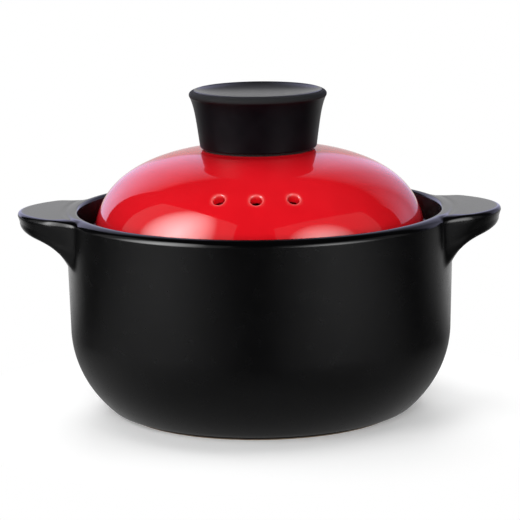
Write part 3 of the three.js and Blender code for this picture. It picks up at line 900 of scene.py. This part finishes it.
# %% Give the fixing its finishes
fixing = {
    "knob_gasket": soft_silicone,
    "silicone_washer": soft_silicone,
    "steel_washer": bright_steel,
    "knob_screw": bright_steel,
    "knob_insert": turned_brass,
}
for node_name, finish in fixing.items():
    node_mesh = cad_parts[node_name].data
    node_mesh.materials.clear()
    node_mesh.materials.append(finish)
print("fixing finished:", len(fixing), "pieces")

# %% [markdown]
# ## The camera
# The photograph was taken from a little above the rim with a long lens, so the ears hardly grow towards
# the viewer. The distance, height and lens were found by matching the outlines of the rim, the foot and
# the knob. The pot leans very slightly in the picture, so the camera is rolled by the same amount.

# %% Place the camera
VIEW_DISTANCE = 1.5
VIEW_PITCH = math.radians(10.678)
VIEW_ROLL = math.radians(-0.78)
VIEW_TARGET = Vector((0, 0, 81.72 * MM))
SENSOR_MM = 36
LENS_MM = 190.7
camera_data = bpy.data.cameras.new("studio_camera")
camera_data.sensor_width = SENSOR_MM
camera_data.lens = LENS_MM
camera = bpy.data.objects.new("studio_camera", camera_data)
aim = Matrix.Rotation(math.pi / 2 - VIEW_PITCH, 4, "X") @ Matrix.Rotation(VIEW_ROLL, 4, "Z")
away = Vector((0, -math.cos(VIEW_PITCH), math.sin(VIEW_PITCH))) * VIEW_DISTANCE
camera.matrix_world = Matrix.Translation(VIEW_TARGET + away) @ aim
bpy.context.scene.collection.objects.link(camera)
bpy.context.scene.camera = camera
print("camera at", [round(value, 3) for value in camera.matrix_world.translation])

# %% [markdown]
# ## The studio
# The lid's reflections tell how the studio was lit: a large softbox on each side of the camera, a white
# sweep behind the pot with a grey flag before its middle, and a dark ceiling. These panels and the pools of
# light on the floor show only in reflections, and the lamps show in none, so that the gloss and the light
# on the colours can be set one by one. The floor is white to the camera, but close to the pot part of that
# white is light that the pot can block, so its shadow stays. The floor's own glow is also made weaker
# towards the pot's foot, which paints a shadow around it.

# %% Helpers for the studio
def stage_plane(name, corners):
    """A flat four-sided piece of the studio, which isn't part of the object."""
    mesh = bpy.data.meshes.new(name)
    mesh.from_pydata(corners, [], [(0, 1, 2, 3)])
    plane = bpy.data.objects.new(name, mesh)
    bpy.context.scene.collection.objects.link(plane)
    return plane


def empty_finish(plane, name):
    """The empty node tree of a new material on a piece of the studio."""
    finish = bpy.data.materials.new(name)
    finish.use_nodes = True
    finish.node_tree.nodes.clear()
    plane.data.materials.append(finish)
    return finish.node_tree


def glow(tree, strength, colour=(1, 1, 1, 1)):
    """A shader that gives off light."""
    return add_node(tree, "Emission", {"Color": colour, "Strength": strength}).outputs["Emission"]


def either(tree, share, first, second):
    """The first shader where the share is 0, the second where it is 1."""
    return add_node(tree, "MixShader", {"Fac": share, 1: first, 2: second}).outputs["Shader"]


def bright_spot(tree, middle, reach):
    """1 at a spot in the object's own coordinates, falling evenly to 0 at its reach along each axis."""
    inputs = {"Vector": own_places(tree), "Location": middle, "Scale": reach}
    scaled = add_node(tree, "Mapping", inputs, vector_type="TEXTURE").outputs["Vector"]
    return add_node(tree, "TexGradient", {"Vector": scaled}, gradient_type="SPHERICAL").outputs["Fac"]


# %% The floor
FLOOR_SIZE = 14
FLOOR_WHITE = 0.89
# The floor's glow rises from the first number to the second between these radii: a painted shadow near the
# foot.
FLOOR_GLOW_WITH_PAINTED_SHADOW = (0.22, 0.29)
PAINTED_SHADOW_RADII = (0.075, 0.115)
SHADOW_MIDDLE = (0.006, -0.004, 0)
SHADOW_RADIUS = 0.10
CLEAR_RADIUS = 0.18
MIRROR_DARK = 0.04
MIRROR_POOLS = (
    ((-0.02, 0, 0), (0.26, 0.26, 1), 0.42),
    ((-0.38, -0.27, 0), (0.36, 0.36, 1), 0.8),
    ((0.32, -0.33, 0), (0.33, 0.33, 1), 0.75),
    ((0, 0.5, 0), (0.5, 0.45, 1), 1.2),
    ((0.42, 0.36, 0), (0.32, 0.3, 1), 0.5),
    ((-0.27, 0.32, 0), (0.18, 0.18, 1), 0.4),
    ((0, 2.4, 0), (4.5, 2.2, 1), 1.2),
)
half = FLOOR_SIZE / 2
floor_corners = [(-half, -half, 0), (half, -half, 0), (half, half, 0), (-half, half, 0)]
floor = stage_plane("studio_floor", floor_corners)
tree = empty_finish(floor, "white_floor")
path = add_node(tree, "LightPath").outputs
seen = worked_out(tree, "MAXIMUM", path["Is Camera Ray"], path["Is Transmission Ray"])
spread = add_node(tree, "VectorMath", {0: own_places(tree), 1: SHADOW_MIDDLE}, operation="DISTANCE")
from_pot = spread.outputs["Value"]
paint = add_node(tree, "BsdfDiffuse", {"Color": (FLOOR_WHITE, FLOOR_WHITE, FLOOR_WHITE, 1)})
# The glow is weaker close to the foot than further out, a painted shadow around the pot.
glow_with_painted_shadow = worked_out(tree, "MULTIPLY", seen, number_drift(tree, from_pot, *FLOOR_GLOW_WITH_PAINTED_SHADOW, *PAINTED_SHADOW_RADII))
near_floor = add_node(tree, "AddShader", {0: paint.outputs["BSDF"], 1: glow(tree, glow_with_painted_shadow)})
clear = number_drift(tree, from_pot, 0, 1, SHADOW_RADIUS, CLEAR_RADIUS)
seen_floor = either(tree, clear, near_floor.outputs["Shader"], glow(tree, seen))
pools = MIRROR_DARK
for middle, reach, level in MIRROR_POOLS:
    pools = worked_out(tree, "MULTIPLY_ADD", bright_spot(tree, middle, reach), level, pools)
whole_floor = either(tree, path["Is Glossy Ray"], seen_floor, glow(tree, pools))
add_node(tree, "OutputMaterial", {"Surface": whole_floor})
print("floor", FLOOR_SIZE, "m across,", len(MIRROR_POOLS), "pools of light")

# %% The white sweep behind the pot
SWEEP_DISTANCE = 4
SWEEP_LEFT = -3.6
SWEEP_RIGHT = 7.4
SWEEP_HEIGHT = 5.4
SWEEP_TONES = (
    (0.24, (0.98, 0.98, 1.40)),
    (0.54, (0.66, 0.66, 0.92)),
    (0.87, (0.30, 0.30, 0.36)),
    (1.00, (0.03, 0.03, 0.03)),
)
SWEEP_LEVELS = ((-2.3, 1.25), (-1.4, 1.0), (0.8, 1.0), (1.5, 0.66), (2.4, 0.62), (3.2, 0.42), (4.6, 0.66))
FLAG_TONES = ((0.18, (0.68, 0.68, 0.69)), (0.26, (0.22, 0.22, 0.24)))
FLAG_HALF_WIDTHS = (0.60, 0.25)
FLAG_HEIGHTS = (0.9, 1.2)
FLAG_EDGE = 0.1
sweep_wall = stage_plane("white_sweep", [
    (SWEEP_LEFT, SWEEP_DISTANCE, 0), (SWEEP_RIGHT, SWEEP_DISTANCE, 0),
    (SWEEP_RIGHT, SWEEP_DISTANCE, SWEEP_HEIGHT), (SWEEP_LEFT, SWEEP_DISTANCE, SWEEP_HEIGHT),
])
sweep_wall.visible_camera = False
sweep_wall.visible_diffuse = False
tree = empty_finish(sweep_wall, "lit_sweep")
wall_axes = own_axes(tree)
rise_share = number_drift(tree, wall_axes["Z"], 0, 1, 0, SWEEP_HEIGHT)
half_flag = number_drift(tree, wall_axes["Z"], *FLAG_HALF_WIDTHS, *FLAG_HEIGHTS)
past_flag = worked_out(tree, "SUBTRACT", worked_out(tree, "ABSOLUTE", wall_axes["X"]), half_flag)
flag_share = number_drift(tree, past_flag, 1, 0, -FLAG_EDGE, FLAG_EDGE)
cloth = colour_drift(tree, rise_share, *SWEEP_TONES)
flag = colour_drift(tree, rise_share, *FLAG_TONES)
width = SWEEP_RIGHT - SWEEP_LEFT
level_stops = [((place - SWEEP_LEFT) / width, (level, level, level)) for place, level in SWEEP_LEVELS]
across = number_drift(tree, wall_axes["X"], 0, 1, SWEEP_LEFT, SWEEP_RIGHT)
sweep_level = colour_drift(tree, across, *level_stops)
lit_sweep = glow(tree, sweep_level, blend(tree, flag_share, cloth, flag))
add_node(tree, "OutputMaterial", {"Surface": lit_sweep})
print("sweep", width, "m wide,", SWEEP_HEIGHT, "m high")


# %% The softboxes
def softbox(name, bearing, distance, left, right, bottom, top, hot, reach, bright, dim):
    """A panel that faces the pot, brightest at its hot spot; bearings are degrees from the back wall."""
    panel = stage_plane(name, [(left, 0, bottom), (right, 0, bottom), (right, 0, top), (left, 0, top)])
    turn = math.radians(bearing)
    panel.location = (math.sin(turn) * distance, math.cos(turn) * distance, 0)
    panel.rotation_euler = (0, 0, -turn)
    panel.visible_camera = False
    panel.visible_diffuse = False
    panel.visible_shadow = False
    tree = empty_finish(panel, name + "_cloth")
    spot = bright_spot(tree, (hot[0], 0, hot[1]), (reach[0], 1, reach[1]))
    front = worked_out(tree, "SUBTRACT", 1, add_node(tree, "NewGeometry").outputs["Backfacing"])
    level = worked_out(tree, "MULTIPLY", number_drift(tree, spot, dim, bright, 0, 1), front)
    add_node(tree, "OutputMaterial", {"Surface": glow(tree, level)})


softbox(
    "left_softbox", bearing=-115, distance=1, left=-1.05, right=1, bottom=0.15, top=1.62,
    hot=(-0.08, 0.5), reach=(0.58, 1.35), bright=15, dim=0.5,
)
softbox(
    "right_softbox", bearing=130, distance=1, left=-0.95, right=0.8, bottom=0.1, top=1.17,
    hot=(0.14, 0.3), reach=(0.5, 0.65), bright=10, dim=0.35,
)

# %% The lamps
LAMP_SIZE = 0.8
LAMPS = {
    "front_lamp": ((0, -1.6, 0.45), 20.5),
    "left_lamp": ((-0.9, -1.0, 0.8), 6),
    "right_lamp": ((0.8, 0.1, 1.4), 3.6),
    "top_lamp": ((0, 0, 1.6), 3.4),
    "back_lamp": ((0, 1.3, 0.7), 13),
    "left_back_lamp": ((-0.7, 0.6, 1.2), 5.5),
    "left_side_lamp": ((-1.3, 0.1, 0.5), 1.8),
    "right_side_lamp": ((1.3, 0.1, 0.5), 2.2),
}
for name, (place, power) in LAMPS.items():
    lamp_data = bpy.data.lights.new(name, "AREA")
    lamp_data.energy = power
    lamp_data.size = LAMP_SIZE
    lamp = bpy.data.objects.new(name, lamp_data)
    lamp.location = place
    lamp.rotation_euler = (VIEW_TARGET - Vector(place)).to_track_quat("-Z", "Y").to_euler()
    lamp.visible_glossy = False
    lamp.visible_camera = False
    bpy.context.scene.collection.objects.link(lamp)
print("lamps:", sum(power for place, power in LAMPS.values()), "W")

# %% The dim room around the studio
ROOM_FILL = 0.03
ROOM_DARK = 0.02
room = bpy.data.worlds.new("dim_room")
bpy.context.scene.world = room
room.use_nodes = True
tree = room.node_tree
tree.nodes.clear()
path = add_node(tree, "LightPath").outputs
fill = add_node(tree, "Background", {"Strength": ROOM_FILL})
dark = add_node(tree, "Background", {"Color": (ROOM_DARK, ROOM_DARK, ROOM_DARK, 1)})
white = add_node(tree, "Background", {"Color": (1, 1, 1, 1)})
unseen = either(tree, path["Is Glossy Ray"], fill.outputs["Background"], dark.outputs["Background"])
whole_room = either(tree, path["Is Camera Ray"], unseen, white.outputs["Background"])
add_node(tree, "OutputWorld", {"Surface": whole_room})
bpy.context.scene.view_settings.view_transform = "Standard"
print("room fill", ROOM_FILL)
